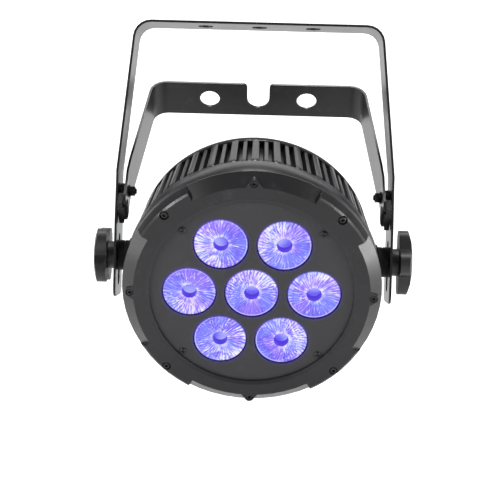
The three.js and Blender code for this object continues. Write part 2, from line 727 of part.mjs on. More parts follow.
function menuButton(x) {
  const out = COVER_BACK - 1.6;
  const stop = COVER_FRONT + GAP;
  const cap = turned([
    [0, out], [BUTTON_RADIUS - 0.8, out], [BUTTON_RADIUS, out + 0.7], [BUTTON_RADIUS, stop],
    [BUTTON_RADIUS + 1, stop], [BUTTON_RADIUS + 1, stop + 1.2], [0, stop + 1.2],
  ], 12);
  return solid(cap.translate(x, BUTTON_Y, 0));
}

// A panel socket: square flange, round shell behind it and a well with blunt contacts.
function socket([x, y], pins) {
  const face = COVER_BACK - GAP - 2.4;
  const flange = extruded(roundedRect(27, 27, 3), face, COVER_BACK - GAP);
  const shell = disc(SOCKET_RADIUS, COVER_BACK - GAP - 0.5, COVER_FRONT + 14, 18);
  const well = disc(9, face - 2, face + 11, 16);
  const contacts = pins.map((angle) => {
    const [dx, dy] = polar(4.2, angle);
    return solid(disc(0.9, face + 4, face + 12, 6).translate(dx, dy, 0));
  });
  const body = join([cut(join([solid(flange), solid(shell)]), [solid(well)]), ...contacts]);
  return body.translate(x, y, 0);
}

function ventPlug() {
  const under = COVER_BACK - GAP;
  const [x, y] = VENT;
  return solid(turned([
    [0, under - 2.6], [5, under - 2.6], [6, under - 1.6], [6, under], [4, under],
    [4, COVER_FRONT + 4], [0, COVER_FRONT + 4],
  ], 12).translate(x, y, 0));
}

// A steel lug with an eye for the safety cable.
function safetyEye() {
  const base = COVER_BACK - GAP;
  const lug = new THREE.Shape();
  lug.moveTo(-7, 0);
  lug.lineTo(7, 0);
  lug.absarc(0, 10, 7, 0, Math.PI);
  lug.holes.push(new THREE.Path().absarc(0, 10, 4.2, 0, 2 * Math.PI, true));
  const blade = extruded(lug, -1.5, 1.5, 10).rotateX(-Math.PI / 2).rotateZ(Math.PI / 2);
  const foot = extruded(roundedRect(12, 18, 2), base - 2, base);
  const shank = disc(2, base - 1, COVER_FRONT + 6, 12);
  const parts = [blade.translate(0, 0, base - 1.8), foot, shank];
  return join(parts.map((shape) => solid(shape))).translate(0, EYE_Y, 0);
}

// ----------------------------------------------------------------- assembly

const lamp = new THREE.Group();
const bracket = new THREE.Group();
const stand = new THREE.Group();
const pivots = new THREE.Group();
const head = new THREE.Group();
const optics = new THREE.Group();
lamp.add(bracket);

bracket.add(piece('outer_bracket', outerBracket(), 'steel'));

const hinges = new THREE.Group();
hinges.position.z = STAND_HINGE - BRACKET_DROP;
stand.rotation.x = -radians(STAND_SWING);
hinges.add(stand);
stand.add(piece('inner_bracket', innerBracket(), 'steel'));

pivots.position.z = -BRACKET_DROP;
head.rotation.x = radians(HEAD_TILT);
optics.rotation.x = Math.PI / 2;
optics.position.y = -PIVOT_DEPTH;
head.add(optics);
pivots.add(head);
bracket.add(hinges, pivots);

for (const [label, side, turn] of [['left', -1, 45], ['right', 1, 0]]) {
  hinges.add(piece(`${label}_hinge_stud`, hingeStud(side), 'fastener'));
  hinges.add(piece(`${label}_spacer_washer`, spacerWasher(side), 'plastic'));
  hinges.add(piece(`${label}_lock_nut`, lockNut(side), 'fastener'));
  stand.add(piece(`${label}_foot_cap`, footCap(side), 'rubber'));
  pivots.add(piece(`${label}_friction_washer`, frictionWasher(side), 'rubber'));
  pivots.add(piece(`${label}_clamp_bolt`, clampBolt(side), 'fastener'));
  pivots.add(piece(`${label}_clamp_knob`, clampKnob(side, turn), 'plastic'));
}

optics.add(piece('rear_housing', rearHousing(), 'casting'));
optics.add(piece('front_ring', frontRing(), 'casting'));
optics.add(piece('lens_plate', lensPlate(), 'plate'));
optics.add(piece('lens_carrier', lensCarrier(), 'plastic'));
optics.add(piece('housing_gasket', housingGasket(), 'rubber'));
optics.add(piece('led_board', ledBoard(), 'board'));
optics.add(piece('driver_board', driverBoard(), 'circuit'));
optics.add(piece('power_supply', powerSupply(), 'circuit'));
lensCentres().forEach((centre, i) => optics.add(piece(`lens_${i + 1}`, lens(centre), 'lens')));
[...QUARTERS, ...DIAGONALS].forEach((angle, i) => {
  optics.add(piece(`ring_screw_${i + 1}`, ringScrew(angle), 'fastener'));
});
DIAGONALS.forEach((angle, i) => {
  optics.add(piece(`plate_screw_${i + 1}`, plateScrew(angle), 'fastener'));
  optics.add(piece(`rear_screw_${i + 1}`, rearScrew(angle), 'fastener'));
});
optics.add(piece('rear_cover', rearCover(), 'casting'));
optics.add(piece('display_window', displayWindow(), 'display'));
BUTTONS.forEach((x, i) => optics.add(piece(`menu_button_${i + 1}`, menuButton(x), 'plastic')));
for (const [name, centre] of Object.entries(SOCKETS)) {
  const pins = name.startsWith('power') ? [90, 210, 330] : [0, 120, 240];
  optics.add(piece(name, socket(centre, pins), 'plastic'));
}
optics.add(piece('vent_plug', ventPlug(), 'plastic'));
optics.add(piece('safety_eye', safetyEye(), 'steel'));

export default lamp;
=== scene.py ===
"""Looks for a par can light: a finned lamp head with seven lit lenses in a double steel bracket.

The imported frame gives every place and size. The pieces that show are remade here with rounded
edges, turned optics, cast ribs and screws, and each finish is worked out from nodes.
"""

import json
import math

import bmesh
import bpy
from bpy.props import FloatProperty, FloatVectorProperty, IntProperty, PointerProperty
from mathutils import Matrix, Vector


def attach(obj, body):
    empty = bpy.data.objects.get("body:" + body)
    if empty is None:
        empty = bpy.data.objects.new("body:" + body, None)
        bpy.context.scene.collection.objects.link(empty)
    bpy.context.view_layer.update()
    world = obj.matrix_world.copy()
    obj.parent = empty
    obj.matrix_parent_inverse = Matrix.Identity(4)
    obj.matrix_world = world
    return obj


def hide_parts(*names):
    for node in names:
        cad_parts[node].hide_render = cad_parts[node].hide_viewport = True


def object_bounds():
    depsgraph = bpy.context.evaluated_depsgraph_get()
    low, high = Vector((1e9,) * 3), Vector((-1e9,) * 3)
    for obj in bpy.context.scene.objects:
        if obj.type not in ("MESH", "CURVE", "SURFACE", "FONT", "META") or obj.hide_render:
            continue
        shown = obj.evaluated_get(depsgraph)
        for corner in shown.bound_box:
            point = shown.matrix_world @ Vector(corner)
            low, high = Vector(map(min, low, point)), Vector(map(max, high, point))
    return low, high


bl_info = {
    "name": "Par Can Light",
    "version": (1, 0, 0),
    "blender": (4, 5, 0),
    "location": "View3D > Sidebar > Par Can",
    "description": "Builds a finned stage light with seven lenses in a double bracket",
    "category": "Add Mesh",
}

MM = 0.001
SIDES = ("left", "right")
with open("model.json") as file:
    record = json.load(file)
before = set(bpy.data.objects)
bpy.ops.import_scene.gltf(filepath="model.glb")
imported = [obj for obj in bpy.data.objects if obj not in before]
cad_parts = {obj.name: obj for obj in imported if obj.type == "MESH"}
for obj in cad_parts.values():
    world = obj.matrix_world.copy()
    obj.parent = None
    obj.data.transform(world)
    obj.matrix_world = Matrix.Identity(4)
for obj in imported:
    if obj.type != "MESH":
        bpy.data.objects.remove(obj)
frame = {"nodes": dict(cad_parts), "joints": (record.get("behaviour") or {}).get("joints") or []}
CAD_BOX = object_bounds()


# ------------------------------------------------------------------ places

def joint(name):
    """The record of one joint of the frame."""
    return next(entry for entry in frame["joints"] if entry["name"] == name)


def span(node, into):
    """Lowest and highest corner of a CAD node, measured in another frame."""
    points = [into @ vertex.co for vertex in frame["nodes"][node].data.vertices]
    low = Vector(min(point[i] for point in points) for i in range(3))
    high = Vector(max(point[i] for point in points) for i in range(3))
    return low, high


def head_frame():
    """Takes points from the optics' own frame, lens faces at height 0 on +Z, to the row's."""
    aim = Vector(joint("button_1_press")["axis"]).normalized()
    across = Vector((1, 0, 0))
    turn = Matrix((across, aim.cross(across), aim)).transposed().to_4x4()
    pivot = Matrix.Translation(joint("head_tilt")["pos_m"]) @ turn
    faces = span("lens_1", pivot.inverted())[1].z
    return pivot @ Matrix.Translation((0, 0, faces))


HEAD = head_frame()
TO_HEAD = HEAD.inverted()


def middle(node):
    """Middle of a CAD node in the head's frame."""
    low, high = span(node, TO_HEAD)
    return (low + high) / 2


LENS_PITCH = middle("lens_2").xy.length
LENS_RADIUS = (span("lens_1", TO_HEAD)[1].x - span("lens_1", TO_HEAD)[0].x) / 2
HOUSING_LOW, HOUSING_HIGH = span("rear_housing", TO_HEAD)
WALL_THICKNESS = 6.0
SEEN_AT = Vector((1.3, -34.8, -959.8)) * MM
SOFTBOXES = (
    ("top_softbox", (0.0, -0.02, 1.1), 0.3, 17),
    ("right_softbox", (1.2, -0.10, -0.30), 0.5, 16),
    ("left_softbox", (-1.2, -0.10, -0.30), 0.5, 5),
    ("left_strip", (-1.0, -0.75, 0.15), 0.25, 10),
    ("right_strip", (1.05, -0.70, 0.10), 0.25, 8),
)
SCREWS = {
    "ring_screws": ("ring_screw", 8),
    "plate_screws": ("plate_screw", 4),
    "rear_screws": ("rear_screw", 4),
}


# ------------------------------------------------------------- node helpers

class Value:
    """A socket that takes part in Python arithmetic by adding Math nodes."""

    def __init__(self, graph, socket):
        self.graph = graph
        self.socket = socket

    def __add__(self, other):
        return self.graph.maths("ADD", self, other)

    __radd__ = __add__

    def __sub__(self, other):
        return self.graph.maths("SUBTRACT", self, other)

    def __rsub__(self, other):
        return self.graph.maths("SUBTRACT", other, self)

    def __mul__(self, other):
        return self.graph.maths("MULTIPLY", self, other)

    __rmul__ = __mul__

    def __truediv__(self, other):
        return self.graph.maths("DIVIDE", self, other)

    def __pow__(self, other):
        return self.graph.maths("POWER", self, other)

    def above(self, low, high):
        """0 below low and 1 above high, with a smooth step between."""
        inputs = {"Value": self, "From Min": low, "From Max": high}
        settings = {"interpolation_type": "SMOOTHSTEP", "clamp": True}
        return self.graph.add("ShaderNodeMapRange", settings, inputs)["Result"]


class Outputs:
    """A node's outputs, by name, as values."""

    def __init__(self, graph, node):
        self.graph = graph
        self.node = node

    def __getitem__(self, name):
        return Value(self.graph, self.node.outputs[name])


class Graph:
    """Adds nodes to one tree."""

    def __init__(self, tree):
        self.tree = tree

    def add(self, kind, settings=None, inputs=None):
        """Adds a node of a type, sets it up, then fills or links its sockets."""
        node = self.tree.nodes.new(kind)
        for name, value in (settings or {}).items():
            if name == "stops":
                self.set_stops(node.color_ramp, value)
            else:
                setattr(node, name, value)
        for name, value in (inputs or {}).items():
            if isinstance(value, Value):
                self.tree.links.new(value.socket, node.inputs[name])
            else:
                node.inputs[name].default_value = value
        return Outputs(self, node)

    @staticmethod
    def set_stops(ramp, stops):
        for place, colour in stops[2:]:
            ramp.elements.new(place)
        for element, (place, colour) in zip(ramp.elements, stops):
            element.position = place
            element.color = (*colour, 1)

    def maths(self, operation, *values):
        inputs = dict(enumerate(values))
        return self.add("ShaderNodeMath", {"operation": operation}, inputs)["Value"]

    def mix(self, amount, first, second):
        """Colour mix: first at 0, second at 1."""
        settings = {"data_type": "RGBA", "clamp_factor": True}
        inputs = {0: amount, 6: first, 7: second}
        node = self.add("ShaderNodeMix", settings, inputs).node
        return Value(self, node.outputs[2])

    def noise(self, place, scale, detail=3.0, roughness=0.5):
        inputs = {"Vector": place, "Scale": scale, "Detail": detail, "Roughness": roughness}
        return self.add("ShaderNodeTexNoise", None, inputs)["Fac"]

    def grain(self, place, scale):
        """Distance to the nearest of many scattered points."""
        inputs = {"Vector": place, "Scale": scale}
        return self.add("ShaderNodeTexVoronoi", None, inputs)["Distance"]

    def bump(self, height, depth, strength=1.0):
        inputs = {"Height": height, "Distance": depth, "Strength": strength}
        return self.add("ShaderNodeBump", None, inputs)["Normal"]


def rgb(colour):
    """A colour property as a node colour."""
    return (*colour, 1.0)


def shaded(colour, factor):
    """A colour made darker or lighter."""
    return tuple(min(1.0, channel * factor) for channel in colour[:3]) + (1.0,)


def new_material(name):
    """A material with a Principled shader, its graph and the object's coordinates."""
    material = bpy.data.materials.new(name)
    material.use_nodes = True
    graph = Graph(material.node_tree)
    place = graph.add("ShaderNodeTexCoord")["Object"]
    return material, graph, place


def set_shader(material, graph, constants, varying):
    """Fills the Principled shader: constants on its sockets, what varies by links."""
    shader = material.node_tree.nodes["Principled BSDF"]
    for name, value in constants.items():
        shader.inputs[name].default_value = value
    for name, value in varying.items():
        graph.tree.links.new(value.socket, shader.inputs[name])
    return material


# ---------------------------------------------------------------- finishes

def powder_coat(name, colour, gloss, pebble):
    """Baked satin powder coat: orange peel, faint mottling and settled dust."""
    material, graph, place = new_material(name)
    mottle = graph.noise(place, 24.0)
    peel = graph.noise(place, pebble, 2.0)
    fleck = graph.noise(place, 2600.0, 1.0)
    dust = graph.noise(place, 70.0, 6.0, 0.7).above(0.55, 0.8)
    base = graph.mix(mottle, shaded(colour, 0.78), shaded(colour, 1.25))
    base = graph.mix(dust * 0.10, base, (0.20, 0.20, 0.21, 1))
    base = graph.mix(fleck.above(0.62, 0.75) * 0.25, base, shaded(colour, 2.2))
    rough = gloss + mottle * 0.06 + peel * 0.08 + dust * 0.08
    height = peel * 0.7 + fleck * 0.3
    return set_shader(
        material, graph,
        {"Specular IOR Level": 0.26, "Coat Weight": 0.12, "Coat Roughness": 0.16},
        {"Base Color": base, "Roughness": rough, "Normal": graph.bump(height, 0.00005, 0.7)},
    )


def glowing_plate(name, colour, glow):
    """Powder coat with a faint painted glow of the lenses' light round each lens."""
    material = powder_coat(name, colour, 0.5, 1500.0)
    graph = Graph(material.node_tree)
    place = graph.add("ShaderNodeTexCoord")["Object"]
    near = None
    for i in range(7):
        centre = HEAD @ Vector((*middle(f"lens_{i + 1}").xy, 0))
        inputs = {0: place, 1: centre}
        gap = graph.add("ShaderNodeVectorMath", {"operation": "DISTANCE"}, inputs)["Value"]
        near = gap if near is None else graph.maths("MINIMUM", near, gap)
    # painted glow: the plate emits the deep lens colour in a ring round each lens
    painted_halo = (1 - near.above(LENS_RADIUS, LENS_RADIUS + 3.5 * MM)) ** 1.5
    light = graph.mix(painted_halo, (0, 0, 0, 1), rgb(glow))
    return set_shader(material, graph, {"Emission Strength": 0.16}, {"Emission Color": light})


def moulded_plastic(name, colour, gloss):
    """Glass-filled moulding with a fine spark-eroded grain."""
    material, graph, place = new_material(name)
    grain = graph.grain(place, 1900.0)
    flow = graph.noise(place, 60.0, 4.0)
    scuff = graph.noise(place, 300.0, 5.0, 0.75).above(0.6, 0.75)
    base = graph.mix(flow, shaded(colour, 0.8), shaded(colour, 1.3))
    base = graph.mix(scuff * 0.2, base, (0.09, 0.09, 0.095, 1))
    rough = gloss + grain * 0.15 + scuff * 0.12
    return set_shader(
        material, graph, {"IOR": 1.48},
        {"Base Color": base, "Roughness": rough, "Normal": graph.bump(grain, 0.00006, 0.6)},
    )


def soft_rubber(name, colour):
    """Matt rubber with a bloom of talc in its pores."""
    material, graph, place = new_material(name)
    pore = graph.grain(place, 1300.0)
    bloom = graph.noise(place, 160.0, 5.0, 0.7).above(0.5, 0.8)
    base = graph.mix(bloom * 0.4, rgb(colour), (0.055, 0.055, 0.055, 1))
    rough = 0.78 + bloom * 0.15
    return set_shader(
        material, graph, {"IOR": 1.45, "Sheen Weight": 0.1},
        {"Base Color": base, "Roughness": rough, "Normal": graph.bump(pore, 0.00008, 0.6)},
    )


def blackened_steel(name, colour):
    """Black-oxide steel, rubbed brighter where tools have turned it."""
    material, graph, place = new_material(name)
    rubbed = graph.noise(place, 420.0, 4.0, 0.7).above(0.52, 0.72)
    streak = graph.noise(place, 1500.0, 2.0)
    base = graph.mix(rubbed * 0.5, rgb(colour), shaded(colour, 3.0))
    rough = 0.30 + streak * 0.2 - rubbed * 0.08
    return set_shader(
        material, graph, {"Metallic": 0.85},
        {"Base Color": base, "Roughness": rough, "Normal": graph.bump(streak, 0.00002, 0.5)},
    )


def circuit_board(name, mask, trace, pitch):
    """Solder mask over etched copper, in lanes, with pale component tops."""
    material, graph, place = new_material(name)
    lanes = graph.add(
        "ShaderNodeTexBrick", {"offset": 0.35, "squash": 1.4},
        {"Vector": place, "Scale": pitch, "Mortar Size": 0.06,
         "Color1": (0.2, 0.2, 0.2, 1), "Color2": (0.7, 0.7, 0.7, 1), "Mortar": (1, 1, 1, 1)},
    )["Fac"]
    cloud = graph.noise(place, 90.0)
    base = graph.mix(lanes, rgb(mask), rgb(trace))
    base = graph.mix(cloud * 0.3, base, shaded(mask, 0.6))
    rough = 0.35 + cloud * 0.2
    return set_shader(
        material, graph, {},
        {"Base Color": base, "Roughness": rough, "Normal": graph.bump(lanes, 0.00008, 0.5)},
    )


def display_pane(name):
    """Smoked pane over a dark dot-matrix display."""
    material, graph, place = new_material(name)
    dots = graph.grain(place, 1400.0).above(0.2, 0.5)
    smear = graph.noise(place, 120.0, 5.0, 0.7).above(0.45, 0.8)
    base = graph.mix(dots, (0.012, 0.02, 0.035, 1), (0.004, 0.005, 0.008, 1))
    rough = 0.05 + smear * 0.18
    return set_shader(
        material, graph, {"Coat Weight": 1.0, "Coat Roughness": 0.04},
        {"Base Color": base, "Roughness": rough},
    )


def lit_optic(name, deep, pale, power, flutes):
    """Clear moulded optic filled with blue-violet light: radial flutes, rim and dark well; glints, a
    lower-edge highlight, a lighter top and the well's shade and light are painted.
    """
    material, graph, place = new_material(name)
    spot = graph.add("ShaderNodeAttribute", {"attribute_name": "optic_place"})["Vector"]
    parts = graph.add("ShaderNodeSeparateXYZ", None, {0: spot})
    east, north, sunk = parts["X"], parts["Y"], parts["Z"]
    away = graph.maths("SQRT", east * east + north * north)
    away = graph.maths("MAXIMUM", away, 0.001)
    seed = graph.noise(place, 14.0, 0.0)

    def rays(spread, reach, detail):
        """Noise drawn out along the radius."""
        vector = graph.add(
            "ShaderNodeCombineXYZ", None,
            {"X": east / away * spread, "Y": north / away * spread, "Z": away * reach + seed * 40},
        )["Vector"]
        return graph.noise(vector, 1.0, detail, 0.6)

    broad = rays(1.1, 1.2, 2.0)
    flute = rays(9.0, 2.2, 2.0)
    fine = rays(22.0, 7.0, 1.0)
    # painted glints: pale specks drawn along the rays, added to the light and mixed towards white
    spark = rays(13.0, 9.0, 1.0).above(0.66, 0.80)
    hue = graph.noise(place, 55.0, 1.0)
    # painted light: the upper part of each lens is made lighter
    painted_lift = north * 0.42 + east * 0.03
    bearing = graph.maths("ARCTAN2", north, east)
    comb = graph.maths("SINE", bearing * flutes + away * 9.0) * away.above(0.3, 0.5)
    light = broad * 1.6 - 0.34 + painted_lift + (flute - 0.5) * 1.7 + (fine - 0.5) * 1.9 + comb * 0.20
    collar = away.above(0.24, 0.30) * (1 - away.above(0.32, 0.46))
    light = light + collar * 0.30 + spark * 0.6
    glow = graph.add(
        "ShaderNodeValToRGB",
        {"stops": [(0.0, deep), (0.42, (0.18, 0.13, 0.93)), (0.72, pale), (1.0, (0.95, 0.92, 1.0))]},
        {"Fac": light},
    )["Color"]
    cool = graph.mix(hue.above(0.45, 0.62) * 0.45, glow, (0.16, 0.24, 1.0, 1))
    warm = graph.mix((1 - hue.above(0.38, 0.5)) * 0.35, cool, (0.42, 0.20, 0.95, 1))
    face = graph.mix(spark * 0.7, warm, (0.93, 0.90, 1.0, 1))
    rim = away.above(0.955, 0.985)
    face = graph.mix(rim * 0.75, face, (0.10, 0.07, 0.42, 1))
    # painted highlight: a thin pale line on the lower half of the lens edge
    edge = away.above(0.93, 0.945) * (1 - away.above(0.955, 0.97)) * (0 - north).above(0.1, 0.6)
    face = graph.mix(edge * 0.8, face, (0.62, 0.60, 1.0, 1))
    # painted shade on the walls of the central well, and a well floor painted lighter towards its top
    wall = sunk.above(0.9, 1.3)
    floor = sunk.above(8.0, 8.5)
    face = graph.mix(wall, face, (0.075, 0.03, 0.62, 1))
    well = graph.mix(north.above(-0.20, 0.22), (0.12, 0.09, 0.80, 1), (0.36, 0.38, 1.0, 1))
    face = graph.mix(floor, face, well)
    ripple = (flute + fine) * (1 - wall)
    return set_shader(
        material, graph,
        {"Base Color": (0.02, 0.02, 0.06, 1), "Roughness": 0.12, "Emission Strength": power,
         "Coat Weight": 0.6, "Coat Roughness": 0.05},
        {"Emission Color": face, "Normal": graph.bump(ripple, 0.0004, 0.6)},
    )


FINISHES = {}


def finish(slot):
    """The material of one of the record's slots, made once."""
    if slot not in FINISHES:
        values = bpy.context.scene.par_finishes
        flutes = float(bpy.context.scene.par_sizes.flutes)
        makers = {
            "black_steel": lambda: powder_coat(slot, values.steel, values.steel_gloss, 900.0),
            "black_casting": lambda: powder_coat(slot, values.casting, values.casting_gloss, 700.0),
            "lens_plate_grey": lambda: glowing_plate(slot, values.plate, values.glow_deep),
            "black_plastic": lambda: moulded_plastic(slot, values.plastic, 0.38),
            "black_rubber": lambda: soft_rubber(slot, values.rubber),
            "fastener_steel": lambda: blackened_steel(slot, values.fastener),
            "optic": lambda: lit_optic(
                slot, values.glow_deep, values.glow_pale, values.glow_power, flutes),
            "led_board_white": lambda: circuit_board(slot, (0.78, 0.79, 0.78), (0.66, 0.62, 0.5), 260.0),
            "circuit_green": lambda: circuit_board(slot, (0.03, 0.16, 0.07), (0.10, 0.30, 0.12), 420.0),
            "display_dark": lambda: display_pane(slot),
        }
        FINISHES[slot] = makers[slot]()
    return FINISHES[slot]


# ------------------------------------------------------------- mesh helpers

def new_object(name, mesh):
    """Puts a mesh in the scene as an object at the origin."""
    piece = bpy.data.objects.new(name, mesh)
    bpy.context.scene.collection.objects.link(piece)
    return piece


def as_mesh(name, points, faces, into=None):
    """A mesh from points in millimetres."""
    mesh = bpy.data.meshes.new(name)
    mesh.from_pydata([Vector(point) * MM for point in points], [], faces)
    if into is not None:
        mesh.transform(into)
    return mesh


def smooth(mesh, angle=40.0):
    """Smooth shading, with edges sharper than the angle kept hard."""
    mesh.polygons.foreach_set("use_smooth", [True] * len(mesh.polygons))
    mesh.set_sharp_from_angle(angle=math.radians(angle))
    mesh.update()


def applied(piece):
    """Replaces an object's mesh by its modified one and clears the modifiers."""
    depsgraph = bpy.context.evaluated_depsgraph_get()
    mesh = bpy.data.meshes.new_from_object(piece.evaluated_get(depsgraph))
    piece.modifiers.clear()
    piece.data = mesh
    return piece


def hand_over(piece, body, slot, nodes):
    """Gives a finished piece its slot's material and its body, and hides the nodes it stands for."""
    piece.data.materials.clear()
    piece.data.materials.append(finish(slot))
    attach(piece, body)
    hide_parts(*nodes)
    return piece


def ring_points(profile, steps, reach=None):
    """Turns (radius, height) points about Z; reach may change each point by its angle."""
    points = []
    for radius, height in profile:
        if radius == 0:
            points.append((0, 0, height))
            continue
        for step in range(steps):
            angle = 2 * math.pi * step / steps
            r, h = reach(radius, height, angle) if reach else (radius, height)
            points.append((r * math.cos(angle), r * math.sin(angle), h))
    return points


def ring_faces(profile, steps):
    """Faces between the rings of turned points; a profile off the axis closes on itself."""
    starts = []
    total = 0
    for radius, _ in profile:
        starts.append(total)
        total += 1 if radius == 0 else steps
    pairs = [(i, i + 1) for i in range(len(profile) - 1)]
    if profile[0][0] > 0:
        pairs.append((len(profile) - 1, 0))
    faces = []
    for low, high in pairs:
        for step in range(steps):
            after = (step + 1) % steps
            a, b = starts[low] + step, starts[low] + after
            c, d = starts[high] + after, starts[high] + step
            if profile[low][0] == 0:
                faces.append((starts[low], c, d))
            elif profile[high][0] == 0:
                faces.append((a, b, starts[high]))
            else:
                faces.append((a, b, c, d))
    return faces


def turned(name, profile, steps, reach=None, into=None):
    """A closed turned mesh with its faces pointing out."""
    mesh = as_mesh(name, ring_points(profile, steps, reach), ring_faces(profile, steps), into)
    outward(mesh)
    return mesh


def outward(mesh):
    """Points every face of a closed mesh outwards."""
    form = bmesh.new()
    form.from_mesh(mesh)
    bmesh.ops.recalc_face_normals(form, faces=form.faces)
    form.to_mesh(mesh)
    form.free()


def joined(name, meshes):
    """Several closed meshes as one."""
    form = bmesh.new()
    for mesh in meshes:
        form.from_mesh(mesh)
    whole = bpy.data.meshes.new(name)
    form.to_mesh(whole)
    form.free()
    return whole


def rounded_copy(name, nodes, bevel, angle=32.0, segments=2):
    """CAD nodes as one object, corners merged and edges rounded to the bevel's width."""
    form = bmesh.new()
    for node in nodes:
        form.from_mesh(frame["nodes"][node].data)
    bmesh.ops.remove_doubles(form, verts=form.verts, dist=2e-6)
    bmesh.ops.dissolve_limit(
        form, angle_limit=math.radians(0.6), verts=form.verts, edges=form.edges)
    mesh = bpy.data.meshes.new(name)
    form.to_mesh(mesh)
    form.free()
    piece = new_object(name, mesh)
    mesh.polygons.foreach_set("use_smooth", [True] * len(mesh.polygons))
    edge = piece.modifiers.new("rounding", "BEVEL")
    edge.limit_method = "ANGLE"
    edge.angle_limit = math.radians(angle)
    edge.width = bevel
    edge.segments = segments
    edge.use_clamp_overlap = True
    weigh = piece.modifiers.new("even shading", "WEIGHTED_NORMAL")
    weigh.keep_sharp = True
    weigh.weight = 90
    return applied(piece)


# ----------------------------------------------------------- geometry nodes

def pattern_tree():
    """A tree that sets copies of a piece round a circle and joins them to the mesh."""
    name = "circle of pieces"
    if name in bpy.data.node_groups:
        return bpy.data.node_groups[name]
    tree = bpy.data.node_groups.new(name, "GeometryNodeTree")
    kinds = {
        "Geometry": "Geometry", "Piece": "Object", "Count": "Int", "Radius": "Float",
        "Phase": "Float", "Middle": "Int", "Jitter": "Float", "Seed": "Int",
        "Material": "Material",
    }
    for label, kind in kinds.items():
        tree.interface.new_socket(label, in_out="INPUT", socket_type=f"NodeSocket{kind}")
    tree.interface.new_socket("Geometry", in_out="OUTPUT", socket_type="NodeSocketGeometry")
    graph = Graph(tree)
    given = graph.add("NodeGroupInput")
    circle = graph.add(
        "GeometryNodeMeshCircle", {"fill_type": "NONE"},
        {"Vertices": given["Count"], "Radius": given["Radius"]},
    )["Mesh"]
    turn = graph.add("ShaderNodeCombineXYZ", None, {"Z": given["Phase"]})["Vector"]
    circle = graph.add(
        "GeometryNodeTransform", None, {"Geometry": circle, "Rotation": turn})["Geometry"]
    copy = graph.add("GeometryNodeObjectInfo", None, {"Object": given["Piece"], "As Instance": True})
    number = graph.add("GeometryNodeInputIndex")["Index"]
    step = number / given["Count"] * (2 * math.pi) + given["Phase"]
    chance = graph.add(
        "FunctionNodeRandomValue", {"data_type": "FLOAT"},
        {"Min": -1.0, "Max": 1.0, "ID": number, "Seed": given["Seed"]}).node
    wobble = Value(graph, next(o for o in chance.outputs if o.enabled)) * given["Jitter"]
    facing = graph.add("ShaderNodeCombineXYZ", None, {"Z": step + wobble})["Vector"]
    around = graph.add(
        "GeometryNodeInstanceOnPoints", None,
        {"Points": circle, "Instance": copy["Geometry"], "Rotation": facing})["Instances"]
    spot = graph.add(
        "GeometryNodeMeshLine", None, {"Count": given["Middle"], "Offset": (0, 0, 0)})["Mesh"]
    inner = graph.add(
        "GeometryNodeInstanceOnPoints", None,
        {"Points": spot, "Instance": copy["Geometry"]})["Instances"]
    join = graph.add("GeometryNodeJoinGeometry")
    for part in (inner, around, given["Geometry"]):
        tree.links.new(part.socket, join.node.inputs[0])
    solid = graph.add("GeometryNodeRealizeInstances", None, {0: join["Geometry"]})["Geometry"]
    done = graph.add(
        "GeometryNodeSetMaterial", None,
        {"Geometry": solid, "Material": given["Material"]})["Geometry"]
    graph.add("NodeGroupOutput", None, {"Geometry": done})
    return tree


def circle_of(piece, copy, slot, count, radius, phase=0.0, middle_one=0, jitter=0.0, seed=1):
    """Adds a circle of copies to a piece by the pattern tree and makes it a plain mesh."""
    tree = pattern_tree()
    pattern = piece.modifiers.new("circle", "NODES")
    pattern.node_group = tree
    values = {
        "Piece": copy, "Count": count, "Radius": radius, "Phase": phase, "Middle": middle_one,
        "Jitter": jitter, "Seed": seed, "Material": finish(slot),
    }
    for item in tree.interface.items_tree:
        if item.name in values:
            pattern[item.identifier] = values[item.name]
    return applied(piece)


# -------------------------------------------------------------------- optics

def optic_mesh(flutes, relief):
    """One turned optic; its face is fluted and each point keeps its place on the lens."""
    radius = LENS_RADIUS / MM
    profile = [
        (0, -12.6), (4.6, -12.6), (5.2, -16.8), (8.4, -16.8), (19.8, -3.4), (radius - 0.2, -2.9),
        (radius, -2.5), (radius - 0.1, -0.9), (radius - 0.5, -0.25), (radius - 0.9, -0.35),
        (radius - 1.2, -0.75), (radius - 1.7, -0.8),
    ]
    rings = 16
    outer, inner = radius - 2.2, 6.6
    for ring in range(rings + 1):
        share = ring / rings
        dome = 0.5 * math.sin(math.pi * share)
        profile.append((outer + (inner - outer) * share, -0.75 + dome))
    profile += [(6.2, -0.8), (6.0, -1.3), (5.7, -8.2), (5.4, -8.7), (4.6, -8.8), (0, -8.6)]

    def fluted(r, h, angle):
        if not (inner - 0.1 < r < outer + 0.1) or h < -1:
            return r, h
        share = (outer - r) / (outer - inner)
        depth = relief * math.sin(math.pi * share) ** 0.5
        row = math.floor(share * 5)
        return r, h + depth * abs(math.cos(flutes / 2 * angle + row * math.pi / 2)) - depth

    steps = flutes * 4
    mesh = turned("optic", profile, steps, fluted)
    places = mesh.attributes.new("optic_place", "FLOAT_VECTOR", "POINT")
    for point, vertex in zip(places.data, mesh.vertices):
        x, y, z = vertex.co / MM
        point.vector = (x / radius, y / radius, -z)
    return mesh


# --------------------------------------------------------------------- ribs

